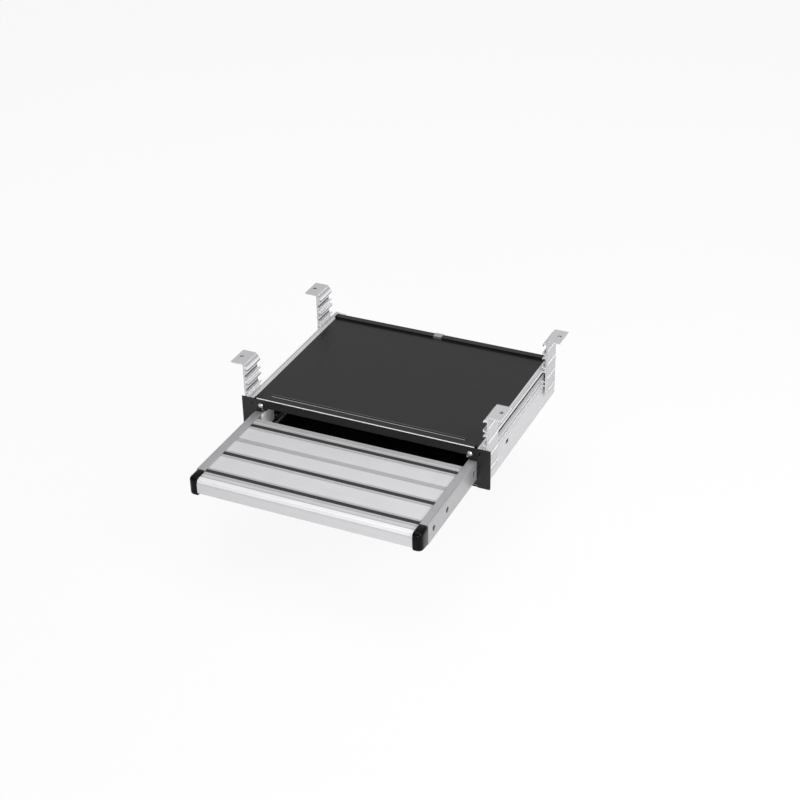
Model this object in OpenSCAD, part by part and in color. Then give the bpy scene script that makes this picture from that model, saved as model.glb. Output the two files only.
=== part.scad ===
// Pull-out entrance step for a caravan, drawn fully extended.
// X is across the doorway, +Y points under the vehicle, +Z is up.
// The origin is the centre of the four floor bolts, on the face that meets the floor.
// The case frame below has y = 0 at the front ends of the rails and z = 0 at the top of the cover.

/* [Mounting] */
// Height from the cover up to the bracket flanges
flange_drop = 84; // [70:1:120]
// Distance between the front and rear bracket bolts
bolt_pitch_y = 368; // [300:1:420]
// Length of each bracket along the rail
bracket_len = 58; // [40:1:70]
// Distance that the flange reaches out from the web
flange_reach = 30; // [24:1:45]
// Bolt centre, out from the web
bolt_reach = 18; // [14:1:22]
// Diameter of the floor bolt holes
bolt_hole_d = 9; // [6:0.5:12]
// Thickness of the bracket web and flange
bracket_t = 4; // [3:0.5:6]
// Distance from the cover down to the foot of the bracket
bracket_foot = 66; // [58:1:80]
// Spacing of the bracket hooks, one height setting apart
hook_pitch = 36.8; // [34:0.1:38]

/* [Step] */
// Width of the step over its two arms
drawer_w = 550; // [400:10:700]
// Distance that the step slides in
travel = 262; // [200:1:262]
// Width of an arm
arm_w = 20; // [18:1:26]
// Height of an arm
arm_h = 49; // [44:1:49]
// Wall of the arm tube
arm_wall = 2.5; // [2:0.1:4]
// Distance from the cover down to the top of the arms
arm_drop = 33; // [33:1:36]
// Distance that the tread lies below the top of the arms
tread_drop = 3.5; // [1:0.5:8]
// Thickness of the tread planks
plank_h = 27.5; // [25:0.5:32]
// Height of the nose profile
nose_h = 35; // [30:0.5:40]
// Radius of the nose's upper front edge
nose_r = 11.5; // [6:0.5:13]

/* [Case] */
// Length of the side rails
rail_len = 449.5; // [400:0.5:520]
// Height of the side rails, from the cover down
rail_h = 99.5; // [96:0.5:110]
// Thickness of the cover sheet
cover_t = 1.5; // [1:0.1:2]
// Thickness of the bottom sheet
pan_t = 1.2; // [0.8:0.1:3]
// Thickness of the front frame sheet
frame_t = 2.5; // [2:0.1:4]
// Distance that each ear reaches out past the arm
ear_reach = 32.5; // [26:0.5:45]
// Height of the beam above the opening
beam_h = 22; // [14:0.5:24]
// Height of the rear crossbar above the cover
bar_h = 5; // [3:0.5:12]
// Depth of the rear crossbar, front to back
bar_depth = 15; // [12:0.5:24]

/* [Clearances] */
// Gap between faces that slide past each other
slide_gap = 0.3; // [0.3:0.05:0.5]
// Radial gap between a pin and its bore
pin_gap = 0.05; // [0.02:0.01:0.1]
// Gap round pieces that push or slot together
fit_gap = 0.2; // [0.1:0.05:0.4]

/* [Hidden] */
$fn = 48;

// Rail section, outwards from the side of the arm
side_gap = 8;            // arm to the rail's main wall
rail_wall = 3;           // main wall
wing_t = 2;              // lips and outer wall
wing_x = 4.8;            // hook room between the main wall and the lips
hook_room = 4.2;         // outer wall to the bracket web
arm_out = drawer_w / 2;
arm_in = arm_out - arm_w;
main_x0 = arm_out + side_gap;
main_x1 = main_x0 + rail_wall;
wing_x0 = main_x1 + wing_x;
rail_out = wing_x0 + wing_t;
web_x = rail_out + hook_room;
flange_x = web_x + bracket_t;
bolt_x = flange_x + bolt_reach;

// Heights in the case frame
arm_top = -arm_drop;
arm_bot = arm_top - arm_h;
arm_mid = (arm_top + arm_bot) / 2;
tread_top = arm_top - tread_drop;
plank_bot = tread_top - plank_h;
nose_bot = tread_top - nose_h;
rail_bot = -rail_h;
floor_z = rail_bot + rail_wall;      // running floor inside the rail
strip_top = -0.5;                    // bare strip beside the cover
ridge_top = 0.3;                     // ridge along the rail's outer top edge
ridge_t = 1.5;                       // thickness of that ridge
plate_bot = -4.5;                    // underside of the rail's top plate
track_t = 2.5;                       // upper track flange
track_bot = arm_top + 4;             // underside of the upper track
ledge_in = arm_in + 7;               // inner edge of the rail's top plate
track_in = arm_in + 2;               // inner edge of the upper track
floor_in = arm_in;                   // inner edge of the running floor
floor_lip = 4.5;                     // upstand on that edge

// Hooks, by their height above the cover
hook_zero = flange_drop - 7.3;       // middle of the topmost hook
hook_bar = 2.2;                      // thickness of a prong
hook_out = 6.8;                      // middle of the hook to the far side of a prong
hook_tip = 10.6;                     // middle of the hook to the end of a prong's lip
hook_end = 2.2;                      // thickness of the lip on a prong
hook_play = 0.3;                     // prong to the rail's lips, up and down
hook_gap = 0.4;                      // lip to the rail's wings
hook_x = wing_x0 - hook_gap - hook_end;
hook_mid = [for (i = [0:3]) hook_zero - i * hook_pitch];
lock_mid = hook_mid[3];              // the hook that locks into the rail's side
rest_mid = hook_mid[2];              // the hook that drops behind the rail's outer band

// Lengths in the case frame
bracket_y0 = 0.5;                    // front end of the front brackets
bracket_mid = bracket_y0 + bracket_len / 2;
bar_y0 = 418.5;                      // front of the rear crossbar
bar_y1 = bar_y0 + bar_depth;
bar_t = 2;
wall_y = bar_y1 - bar_t;             // inner face of the rear wall
arm_front = -265;                    // front ends of the arm tubes
arm_rear = 48.5;                     // rear ends of the arm tubes
nose_front = -301.5;
nose_back = -274;
plank_split = -122;
plank_end = -25.5;                   // where the level top of the tread ends
cap_back = arm_front - 3;            // rear edge of a cap
cap_proud = 1.5;                     // cap past the nose
cap_side = 1;                        // cap past the side of the arm
cap_in = arm_in;                     // inner face of a cap
cap_rise = 5;                        // front of a cap's underside, above its rear
screw_ys = [-235, -164, -15];        // screws through the arms into the tread
screw_z = arm_mid;
insert_ys = [-259.5, -182.5, -57];   // rubber strips
insert_w = 10;
band_half = 14.3;                    // ribbed band, from the middle of a strip
carriage_rear = 154.5;
tie_y = 136.5;                       // middle of the cross tie
tie_z = arm_mid + 0.5;
roller_y = 100;                      // rear rollers
rear_r = 12.5;
rear_roller_z = track_bot - slide_gap - rear_r;
guide_y1 = arm_rear - slide_gap;     // rear end of the guide blocks
front_roller_y = 20;
roller_lift = 1.2;                   // front roller to the running floor
front_r = (arm_bot - floor_z - slide_gap - roller_lift) / 2;
front_pin_r = min(2, front_r * 0.4);
front_roller_z = arm_bot - slide_gap - front_r;
catch_z = arm_mid + 0.5;

// The case frame, placed under the floor bolts
module in_case() translate([0, -bolt_pitch_y / 2 - bracket_mid, -flange_drop]) children();

// One copy on each side
module both_sides() { children(); mirror([1, 0, 0]) children(); }

// A profile drawn across the step (x, z), run back from y0 to y1
module run_back(y0, y1) translate([0, y1, 0]) rotate([90, 0, 0]) linear_extrude(y1 - y0) children();

// A profile drawn front to back (y, z), run across from x0 to x1
module run_across(x0, x1) translate([x0, 0, 0]) rotate([90, 0, 90]) linear_extrude(x1 - x0) children();

// Plain shapes between named limits
module bar2(a, b) translate(a) square([b[0] - a[0], b[1] - a[1]]);
module block(a, b) translate(a) cube([b[0] - a[0], b[1] - a[1], b[2] - a[2]]);
module pin_x(x0, x1, y, z, r) translate([x0, y, z]) rotate([0, 90, 0]) cylinder(r = r, h = x1 - x0);
module pin_y(y0, y1, x, z, r) translate([x, y1, z]) rotate([90, 0, 0]) cylinder(r = r, h = y1 - y0);
module pin_z(z0, z1, x, y, r) translate([x, y, z0]) cylinder(r = r, h = z1 - z0);

// A rectangle with four round corners
module soft_bar(a, b, r) {
    bar2([a[0] + r, a[1]], [b[0] - r, b[1]]);
    bar2([a[0], a[1] + r], [b[0], b[1] - r]);
    for (x = [a[0] + r, b[0] - r], z = [a[1] + r, b[1] - r]) translate([x, z]) circle(r);
}

// Side rail: top plate, three hook grooves, outer wall, running floor and upper track
tee_z = [lock_mid + hook_tip - 1.2, rest_mid - hook_out - hook_play - 0.5];   // outer band between two grooves
band_lip = 0.7;                                      // thickness of the band's upper edge
band_taper = [3.5, 7.5];                             // upper and lower stretch that thin out
tee_mid = (tee_z[0] + rest_mid - hook_tip) / 2;      // web that carries the band
chest_z = [lock_mid - hook_out + hook_bar + hook_play, lock_mid + hook_out - hook_bar - hook_play];
wall_top = lock_mid - hook_out - hook_play;          // upper edge of the outer wall
ledge_top = lock_mid - hook_tip - 0.6;
ledge_z = [ledge_top - 2.5, ledge_top];              // ledge that carries the outer wall
module rail_section() {
    difference() {
        union() {
            bar2([ledge_in, plate_bot], [main_x1, strip_top]);
            bar2([main_x0, ledge_z[0]], [main_x1, strip_top]);
            bar2([main_x0, ridge_top - ridge_t], [wing_x0 - 0.55, ridge_top]);
            translate([wing_x0 - 0.55, ridge_top - ridge_t / 2]) circle(ridge_t / 2);
            polygon([[wing_x0, tee_z[1] - band_taper[0]], [wing_x0, tee_z[0]], [wing_x0 + band_lip, tee_z[0]],
                     [rail_out, tee_z[0] + band_taper[1]], [rail_out, tee_z[1]], [rail_out - band_lip, tee_z[1]]]);
            bar2([main_x1 - 0.5, tee_mid - 1.25], [wing_x0 + 0.5, tee_mid + 1.25]);
            bar2([main_x1, chest_z[0]], [rail_out - 0.8, chest_z[1]]);
            bar2([main_x1, chest_z[0] + 0.8], [rail_out, chest_z[1] - 0.8]);
            for (z = [chest_z[0] + 0.8, chest_z[1] - 0.8]) translate([rail_out - 0.8, z]) circle(0.8);
            bar2([main_x1, ledge_z[0]], [rail_out, ledge_z[1]]);
            bar2([wing_x0, rail_bot], [rail_out, wall_top - 0.8]);
            bar2([wing_x0, wall_top - 1], [rail_out - 0.8, wall_top]);
            translate([rail_out - 0.8, wall_top - 0.8]) circle(0.8);
            bar2([floor_in, rail_bot], [rail_out, floor_z]);
            bar2([floor_in, rail_bot], [floor_in + wing_t, floor_z + floor_lip]);
            bar2([track_in, track_bot], [main_x1, track_bot + track_t]);
        }
        bar2([ledge_in - 1, -cover_t], [arm_out + 1, 1]);
        bar2([main_x1 + 0.4, chest_z[0] + 1.8], [rail_out - 1.8, chest_z[1] - 1.8]);
        translate([main_x0 + 2.6, ridge_top + 0.2]) circle(0.8);
    }
}
access_half = 5;                     // half the straight stretch of the tie bolt's access slot
module rail() color([0.86, 0.85, 0.87]) in_case() difference() {
    run_back(0, rail_len) rail_section();
    for (d = [-1, 1]) pin_x(wing_x0 - 1, rail_out + 1, tie_y + d * access_half, tie_z, access_r - 2);
    block([wing_x0 - 1, tie_y - access_half, tie_z - access_r + 2],
          [rail_out + 1, tie_y + access_half, tie_z + access_r - 2]);
    for (y = rivet_ys) pin_z(rail_bot - 1, floor_z + 1, pan_rivet_x, y, rivet_r);
    pin_z(plate_bot - 1, 1, bar_rivet_x, bar_rivet_y, rivet_r);
}
module left_rail() mirror([1, 0, 0]) rail();
module right_rail() rail();

// Front frame: one bent sheet with two ears, a beam over the opening and a turned-back top
ear_bot = rail_bot - 1;
ear_in = arm_out + 3.5;
ear_out = arm_out + ear_reach;
fold_x = arm_out - 6;                // end of the turned-back top
fold_y = 13.5;                       // how far the top turns back
fold_t = 2;
ear_bend = 3;                        // lower outer corner of an ear
toe_in = arm_in + 9;
cheek_in = arm_in + 3;
screw_x = arm_out - 16;
frame_screw_z = -beam_h + 6;
trim_x = arm_out + 6.5;
module front_frame() color([0.25, 0.25, 0.26]) in_case() difference() {
    union() {
        run_back(-frame_t, 0) {
            for (s = [-1, 1]) {
                bar2([s > 0 ? ear_in : -ear_out, ear_bot + ear_bend], [s > 0 ? ear_out : -ear_in, -1]);
                bar2([s > 0 ? ear_in : -ear_out + ear_bend, ear_bot], [s > 0 ? ear_out - ear_bend : -ear_in, -1]);
                translate([s * (ear_out - ear_bend), ear_bot + ear_bend]) circle(ear_bend);
                bar2([s > 0 ? toe_in : -ear_in, ear_bot + 1.4], [s > 0 ? ear_in : -toe_in, rail_bot + 2.5]);
                bar2([s > 0 ? cheek_in : -ear_in, arm_top + 0.6], [s > 0 ? ear_in : -cheek_in, -beam_h + 4]);
            }
            bar2([-ear_in, -beam_h + 3], [ear_in, -1]);
            bar2([-fold_x, -1], [fold_x, 0]);
        }
        run_across(-fold_x, fold_x) {
            bar2([0, 0], [fold_y, fold_t]);
            intersection() {
                bar2([-frame_t, -1], [0, fold_t]);
                translate([0, -frame_t + fold_t]) circle(frame_t);
            }
        }
        run_across(-ear_in + 3, ear_in - 3) difference() {
            translate([0.5, -beam_h + 3]) circle(3);
            translate([0.5, -beam_h + 3]) circle(3 - 1.8);
            bar2([-4, -beam_h + 3], [8, -beam_h + 12]);
        }
    }
    for (s = [-1, 1]) {
        pin_y(-frame_t - 1, 1, s * screw_x, frame_screw_z, 2.6);
        pin_y(-frame_t - 1, 1, s * trim_x, frame_screw_z + 3, 2.5);
    }
}

// Pan-head screws that hold the frame to the rails
module frame_screws() color([0.8, 0.8, 0.82]) in_case() both_sides() difference() {
    union() {
        pin_y(-frame_t, 9, screw_x, frame_screw_z, 2.6 - pin_gap);
        translate([screw_x, -frame_t, frame_screw_z]) rotate([90, 0, 0])
            rotate_extrude() intersection() {
                translate([0, -6]) circle(9.2);
                bar2([0, 0], [6, 3.2]);
            }
    }
    translate([screw_x, -frame_t - 1.4, frame_screw_z]) rotate([90, 0, 0]) cylinder(r = 2, h = 4, $fn = 6);
}

// Cover sheet with a pressed double bead behind the front frame
bead_x = 240;
module cover_bead(y, w, h) run_across(-bead_x, bead_x)
    polygon([[y - w / 2, -0.5], [y - w / 2, 0], [y - w / 3, h], [y + w / 3, h], [y + w / 2, 0], [y + w / 2, -0.5]]);
module top_cover() color([0.2, 0.2, 0.21]) in_case() difference() {
    union() {
        block([-arm_out - 0.5, 0, -cover_t], [arm_out + 0.5, bar_y1 - bar_t - 0.3, 0]);
        cover_bead(fold_y + 4.5, 5, 1.5);
        cover_bead(fold_y + 12.5, 5, 1.5);
    }
    for (s = [-1, 1]) {
        block([s * fold_x - (s > 0 ? 0 : 20), -1, -5], [s * fold_x + (s > 0 ? 20 : 0), 6, 5]);
        pin_z(-5, 5, s * bar_rivet_x, bar_rivet_y, rivet_r);
    }
}

// Black plugs in the corners of the cover
module corner_plugs() color([0.04, 0.04, 0.04]) in_case() both_sides() {
    block([fold_x + fit_gap, 0.2, -cover_t], [arm_out + 0.8, 5.8, 0.6]);
    block([arm_out - 2.8, bar_y0, 0], [arm_out + 2.5, bar_y1, bar_h]);
}

// Bottom sheet under the case
pan_x = arm_in + 9;
rivet_r = 2.4;
rivet_y0 = 70;                       // first pan rivet, and the last one's distance from the rear is near it
rivet_ys = [for (i = [0:2]) rivet_y0 + i * (rail_len - 2 * rivet_y0 - 9.5) / 2];
pan_bead_x = arm_in - 55;
pan_rivet_x = arm_in + 6;
module bottom_pan() color([0.05, 0.05, 0.05]) in_case() difference() {
    union() {
        block([-pan_x, 1, rail_bot - pan_t], [pan_x, wall_y, rail_bot]);
        for (y = [(rivet_ys[0] + rivet_ys[1]) / 2, (rivet_ys[1] + rivet_ys[2]) / 2]) run_across(-pan_bead_x, pan_bead_x)
            polygon([[y - 9, rail_bot - pan_t / 2], [y - 9, rail_bot], [y - 5, rail_bot + 2.5],
                     [y + 5, rail_bot + 2.5], [y + 9, rail_bot], [y + 9, rail_bot - pan_t / 2]]);
    }
    for (s = [-1, 1], y = rivet_ys) pin_z(rail_bot - 9, rail_bot + 9, s * pan_rivet_x, y, rivet_r);
}
module rivet(z0, z1, x, y) {
    pin_z(z0, z1, x, y, rivet_r - pin_gap);
    translate([x, y, z1]) rotate_extrude() intersection() {
        translate([0, -3.7]) circle(5);
        bar2([0, 0], [3.3, 1.3]);
    }
    translate([x, y, z0 - 1.2]) cylinder(r = 3.6, h = 1.2);
}
module pan_rivets() color([0.1, 0.1, 0.1]) in_case() both_sides()
    for (y = rivet_ys) rivet(rail_bot - pan_t, floor_z, pan_rivet_x, y);

// Rear crossbar: hat section over the cover, and a wall that closes the back of the case
bar_x = arm_out - 3;
wall_x = track_in - 0.6;
bar_rivet_x = arm_in + 12;
bar_rivet_y = bar_y0 + 8;
module rear_crossbar() color([0.16, 0.16, 0.17]) in_case() difference() {
    union() {
        run_across(-bar_x, bar_x) {
            bar2([bar_y0, 0], [bar_y0 + bar_t, bar_h]);
            bar2([bar_y0, bar_h - bar_t], [bar_y1, bar_h]);
        }
        run_back(wall_y, bar_y1) {
            bar2([-bar_x, 0.2], [bar_x, bar_h]);
            bar2([-wall_x, track_bot - 0.6], [wall_x, 0.3]);
            bar2([-main_x0 + 0.5, floor_z + floor_lip + 0.4], [main_x0 - 0.5, track_bot - 0.4]);
            bar2([-wall_x + 2, floor_z - 1], [wall_x - 2, floor_z + floor_lip + 0.5]);
        }
        run_across(-pan_bead_x, pan_bead_x) {
            bar2([wall_y - 12, rail_bot], [wall_y + 1, rail_bot + 2]);
            bar2([wall_y, rail_bot], [bar_y1, rail_bot + 6]);
        }
    }
    for (s = [-1, 1]) pin_z(0, bar_h + 1, s * bar_rivet_x, bar_rivet_y, rivet_r);
}
module crossbar_rivets() color([0.1, 0.1, 0.1]) in_case() both_sides()
    rivet(plate_bot, bar_h, bar_rivet_x, bar_rivet_y);

// Clip that grips the cover's rear edge to the crossbar
clip_w = 21;
clip_t = 1.2;
module rear_clip() color([0.72, 0.72, 0.72]) in_case() run_across(-clip_w / 2, clip_w / 2) {
    bar2([bar_y0 - clip_t, 0.3], [bar_y0, bar_h + clip_t]);
    bar2([bar_y0 - clip_t, bar_h], [bar_y1 + clip_t, bar_h + clip_t]);
    bar2([bar_y1, -26], [bar_y1 + clip_t, bar_h + clip_t]);
}

// Bracket: top flange, web and hooks that hang the rail at one of several heights
module prong(mid, s) {
    root = mid + s * (hook_out - hook_bar / 2);
    tip = mid + s * (hook_tip - hook_end / 2);
    bar2([hook_x + hook_bar / 2, root - hook_bar / 2], [web_x + 1, root + hook_bar / 2]);
    bar2([hook_x, min(root, tip)], [hook_x + hook_end, max(root, tip)]);
    for (z = [root, tip]) translate([hook_x + hook_end / 2, z]) circle(hook_end / 2);
}
rib_off = 20.5;                      // hook to the rib on the web's outer face
rib_out = 0.8;
rib_h = 4.6;
module bracket_section() {
    difference() {
        union() {
            bar2([web_x, -bracket_foot], [flange_x, flange_drop]);
            bar2([web_x, flange_drop - bracket_t], [flange_x + flange_reach, flange_drop]);
            for (m = hook_mid) prong(m, -1);
            for (i = [1:3]) prong(hook_mid[i], 1);
            for (i = [1:2]) bar2([web_x - 2.4, hook_mid[i] - hook_out], [web_x, hook_mid[i] + hook_out]);
            polygon([[web_x + 1.2, flange_drop], [hook_x + 1.8, hook_zero - hook_out + hook_bar + 2.2],
                     [hook_x + 0.5, hook_zero - hook_out + hook_bar - 0.6], [web_x + 1.2, hook_zero - hook_out + 0.4]]);
            for (m = hook_mid) bar2([flange_x - 1, m - rib_off - rib_h / 2], [flange_x + rib_out, m - rib_off + rib_h / 2]);
        }
        translate([(web_x + hook_x) / 2 + 2.2, (flange_drop + hook_zero) / 2 + 0.6]) circle(0.8);
    }
}
module bracket(y) color([0.84, 0.84, 0.86]) in_case() difference() {
    run_back(y - bracket_len / 2, y + bracket_len / 2) bracket_section();
    pin_z(flange_drop - bracket_t - 1, flange_drop + 1, bolt_x, y, bolt_hole_d / 2);
    for (d = [-1, 1]) pin_x(web_x - 1, flange_x + 3, y + d * grub_off, grub_z, grub_r);
}
module left_front_bracket() mirror([1, 0, 0]) bracket(bracket_mid);
module left_rear_bracket() mirror([1, 0, 0]) bracket(bracket_mid + bolt_pitch_y);
module right_front_bracket() bracket(bracket_mid);
module right_rear_bracket() bracket(bracket_mid + bolt_pitch_y);

// Set screws that push each bracket out against the rail's wings
grub_r = 3;
grub_off = 17;
grub_z = hook_mid[3] - 23;
module bracket_screws() color([0.6, 0.6, 0.62]) in_case() both_sides()
    for (e = [0, 1], d = [-1, 1]) {
        y = bracket_mid + e * bolt_pitch_y + d * grub_off;
        difference() {
            pin_x(rail_out, flange_x + 0.6, y, grub_z, grub_r - pin_gap);
            translate([flange_x - 2, y, grub_z]) rotate([0, 90, 0]) cylinder(r = 1.5, h = 5, $fn = 6);
        }
    }

// Guide block in the mouth of each rail, with a pocket for the front roller
guide_x1 = wing_x0 - 0.3;
guide_x0 = floor_in + wing_t + 0.3;
cheek_top = screw_z - 8.5;
pocket_x = [arm_in + 5, arm_in + 15];
module guide_block() color([0.05, 0.05, 0.05]) in_case() difference() {
    union() {
        block([guide_x0, 1.5, floor_z], [guide_x1, guide_y1, arm_bot - 0.9]);
        block([arm_out + slide_gap + 0.1, 1.5, floor_z], [guide_x1, guide_y1, cheek_top]);
    }
    block([pocket_x[0], front_roller_y - front_r - 1, floor_z + 0.5],
          [pocket_x[1], front_roller_y + front_r + 1, arm_bot + 1]);
    pin_x(pocket_x[0] - 3, pocket_x[1] + 3, front_roller_y, front_roller_z, front_pin_r + pin_gap);
}
module left_guide_block() mirror([1, 0, 0]) guide_block();
module right_guide_block() guide_block();
module roller(r, bore, x0, x1, y, z) in_case() difference() {
    pin_x(x0, x1, y, z, r);
    pin_x(x0 - 1, x1 + 1, y, z, bore);
}
module front_roller() color([0.85, 0.85, 0.82])
    roller(front_r, front_pin_r + pin_gap, pocket_x[0] + 0.5, pocket_x[1] - 0.5, front_roller_y, front_roller_z);
module left_front_roller() mirror([1, 0, 0]) front_roller();
module right_front_roller() front_roller();
module front_roller_pins() color([0.7, 0.7, 0.72]) in_case() both_sides()
    pin_x(pocket_x[0] - 2.9, pocket_x[1] + 2.9, front_roller_y, front_roller_z, front_pin_r);

// Nylon glides under the beam that keep the arms down
module upper_glides() color([0.07, 0.07, 0.07]) in_case() both_sides()
    run_across(arm_in - 5, track_in - 0.4) soft_bar([3.9, arm_top + slide_gap], [16, -beam_h + 2], 1.2);

// Bright screw in the front of the right-hand glide
stop_x = arm_in - 2.6;
module stop_screw() color([0.8, 0.8, 0.82]) in_case() translate([stop_x, 3.9, -26.5]) rotate([90, 0, 0]) {
    cylinder(r = 3, h = 1.2);
    translate([0, 0, 1.2]) cylinder(r = 2.4, h = 3, $fn = 6);
}

// Rubber buffers on the rear wall
module rear_buffers() color([0.07, 0.07, 0.07]) in_case() both_sides() difference() {
    run_back(carriage_rear + travel + slide_gap, wall_y)
        soft_bar([arm_in + 3, arm_mid - 10], [arm_out - 3, arm_mid + 10], 3);
    pin_y(carriage_rear + travel, wall_y - 5, (arm_in + arm_out) / 2, arm_mid, 3);
}

// Catch on the rear wall that grips the striker when the step is in
catch_y = wall_y - 17;
module latch_catch() color([0.7, 0.7, 0.72]) in_case() {
    block([-20, wall_y - 1.8, catch_z - 12], [20, wall_y, catch_z + 12]);
    for (s = [-1, 1]) {
        block([s * 10 - 3.6, catch_y, catch_z - 5], [s * 10 + 3.6, wall_y, catch_z + 5]);
        intersection() {
            translate([s * 7.9, catch_y + 6, catch_z]) sphere(3);
            block([min(s * 4, s * 8), catch_y, catch_z - 5], [max(s * 4, s * 8), wall_y, catch_z + 5]);
        }
    }
}

// Arms: rectangular tubes with holes for the tread screws
head_r = 5.5;
shank_r = 3;
sleeve_r = 4.4;                      // long head of a tread screw
sleeve_sink = 4.5;                   // its end, below the arm's outer face
access_r = 6.8;                      // hole that it goes in through
module arm() color([0.75, 0.74, 0.76]) in_case() difference() {
    run_back(arm_front, arm_rear) difference() {
        soft_bar([arm_in, arm_bot], [arm_out, arm_top], 1.5);
        bar2([arm_in + arm_wall, arm_bot + arm_wall], [arm_out - arm_wall, arm_top - arm_wall]);
        translate([arm_out - 3.6, arm_top + 0.1]) circle(0.8);
    }
    for (y = screw_ys) {
        pin_x(arm_in - 1, arm_in + arm_wall + 1, y, screw_z, shank_r + 0.15);
        pin_x(arm_out - arm_wall - 1, arm_out + 1, y, screw_z, access_r);
    }
    pin_x(arm_out - arm_wall - 1, arm_out + 1, join_y, screw_z, shank_r + 0.15);
}
module left_arm() mirror([1, 0, 0]) arm();
module right_arm() arm();
module arm_screws() color([0.6, 0.6, 0.62]) in_case() both_sides() for (y = screw_ys) difference() {
    union() {
        pin_x(arm_in - 16, arm_in + arm_wall + 1, y, screw_z, shank_r);
        pin_x(arm_in + arm_wall, arm_out - sleeve_sink, y, screw_z, sleeve_r);
    }
    translate([arm_out - sleeve_sink - 4, y, screw_z]) rotate([0, 90, 0]) cylinder(r = 2.3, h = 5, $fn = 6);
}

// Tread extrusions, drawn front to back (y, z)
band_depth = 1.8;
rib_pitch = 2.4;
slot_lip = 4;                        // thickness over the undercut of a slot
slot_foot = 3;                       // height of the undercut
foot_w = 14;
port_r = 3.1;
skin = 4.5;                          // top wall of the planks
web_t = 2.5;                         // other walls of the planks
// Fine ribs between y0 and y1, cut down to the band's floor
module ribs(y0, y1) {
    n = floor((y1 - y0) / rib_pitch);
    gap = rib_pitch / 2;
    for (i = [0:n - 1]) bar2([y0 + (i + 0.25) * rib_pitch, tread_top - band_depth],
                             [y0 + (i + 0.25) * rib_pitch + gap, tread_top + 1]);
}
module strip_slot(y, grow) {
    bar2([y - insert_w / 2 - grow, tread_top - slot_lip - 1], [y + insert_w / 2 + grow, tread_top + 1]);
    bar2([y - foot_w / 2 - grow, tread_top - slot_lip - slot_foot - grow],
         [y + foot_w / 2 + grow, tread_top - slot_lip + grow]);
}
module ribbed_band(y) {
    ribs(y - band_half, y - insert_w / 2);
    ribs(y + insert_w / 2, y + band_half);
    strip_slot(y, fit_gap);
}
module chamber(y0, y1) soft_bar([y0, plank_bot + web_t], [y1, tread_top - skin], 1.5);
module deep_chamber(y0, y1) soft_bar([y0, plank_bot + web_t], [y1, tread_top - slot_lip - slot_foot - 2.4], 1.5);
module front_plank() color([0.83, 0.83, 0.83]) in_case() run_across(-arm_in, arm_in) difference() {
    bar2([nose_back, plank_bot], [plank_split, tread_top]);
    ribbed_band(insert_ys[0]);
    ribbed_band(insert_ys[1]);
    ribs(plank_split - 7.3, plank_split);
    deep_chamber(nose_back + 6, screw_ys[0] - 6);
    chamber(screw_ys[0] + 6, insert_ys[1] - 10);
    deep_chamber(insert_ys[1] - 7.6, screw_ys[1] - 6);
    chamber(screw_ys[1] + 6, plank_split - 6);
    for (i = [0, 1]) translate([screw_ys[i], screw_z]) circle(port_r);
    bar2([nose_back - 1, tongue_z - fit_gap], [nose_back + 3.2, tongue_z + 3 + fit_gap]);
    bar2([plank_split - 3.2, tongue_z - fit_gap], [plank_split + 1, tongue_z + 3 + fit_gap]);
}
tongue_z = plank_bot + 11;
module rear_plank() color([0.83, 0.83, 0.83]) in_case() run_across(-arm_in, arm_in) difference() {
    union() {
        polygon([[plank_split + 0.3, plank_bot], [screw_ys[2] - 6, plank_bot], [screw_ys[2] - 6, screw_z - 1],
                 [screw_ys[2] + 3, screw_z + 4.6], [plank_end + 0.4, tread_top - 5.6],
                 [plank_end - 4, tread_top - 4], [plank_split + 0.3, tread_top - 4]]);
        bar2([plank_split + 0.3, tread_top - 5], [plank_end - 4, tread_top]);
        translate([plank_end - 4, tread_top - 5]) circle(5);
        translate([screw_ys[2], screw_z]) circle(6.3);
        bar2([plank_split - 2.8, tongue_z], [plank_split + 1, tongue_z + 3]);
    }
    ribbed_band(insert_ys[2]);
    ribs(plank_split + 0.3, plank_split + 7.5);
    ribs(insert_ys[2] + band_half + 1, plank_end - 2);
    chamber(plank_split + 6, insert_ys[2] - 10);
    deep_chamber(insert_ys[2] - 7.6, screw_ys[2] - 8.6);
    translate([screw_ys[2], screw_z]) circle(port_r);
}

// Nose: rounded front edge with fine grooves
module nose_shell(d) {
    bar2([nose_front + nose_r, nose_bot + d], [nose_back - d, tread_top - d]);
    bar2([nose_front + d, nose_bot + 3], [nose_front + nose_r + 0.01, tread_top - nose_r]);
    bar2([nose_front + 3, nose_bot + d], [nose_front + nose_r + 0.01, nose_bot + 3.01]);
    intersection() {
        translate([nose_front + nose_r, tread_top - nose_r]) circle(nose_r - d);
        bar2([nose_front, tread_top - nose_r - 1], [nose_front + nose_r + 1, tread_top]);
    }
    translate([nose_front + 3, nose_bot + 3]) circle(3 - d);
}
module nose_profile() color([0.85, 0.85, 0.85]) in_case() run_across(-cap_in, cap_in) difference() {
    union() {
        nose_shell(0);
        bar2([nose_back - 1, tongue_z], [nose_back + 2.8, tongue_z + 3]);
    }
    nose_shell(2.6);
    for (a = [16:15:88]) translate([nose_front + nose_r - nose_r * sin(a), tread_top - nose_r + nose_r * cos(a)])
        circle(0.7);
    for (i = [1:3]) translate([nose_front + nose_r + i * 3, tread_top]) circle(0.6);
}

// Rubber strips, held by their wide feet
module insert(y) color([0.12, 0.12, 0.12]) in_case() run_across(-arm_in + 0.3, arm_in - 0.3) {
    difference() {
        bar2([y - insert_w / 2, tread_top - slot_lip - 1], [y + insert_w / 2, tread_top + 0.8]);
        for (d = [-3, 0, 3]) translate([y + d, tread_top + 1]) circle(0.8);
    }
    bar2([y - foot_w / 2, tread_top - slot_lip - slot_foot], [y + foot_w / 2, tread_top - slot_lip]);
}
module front_insert() insert(insert_ys[0]);
module middle_insert() insert(insert_ys[1]);
module rear_insert() insert(insert_ys[2]);

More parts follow.
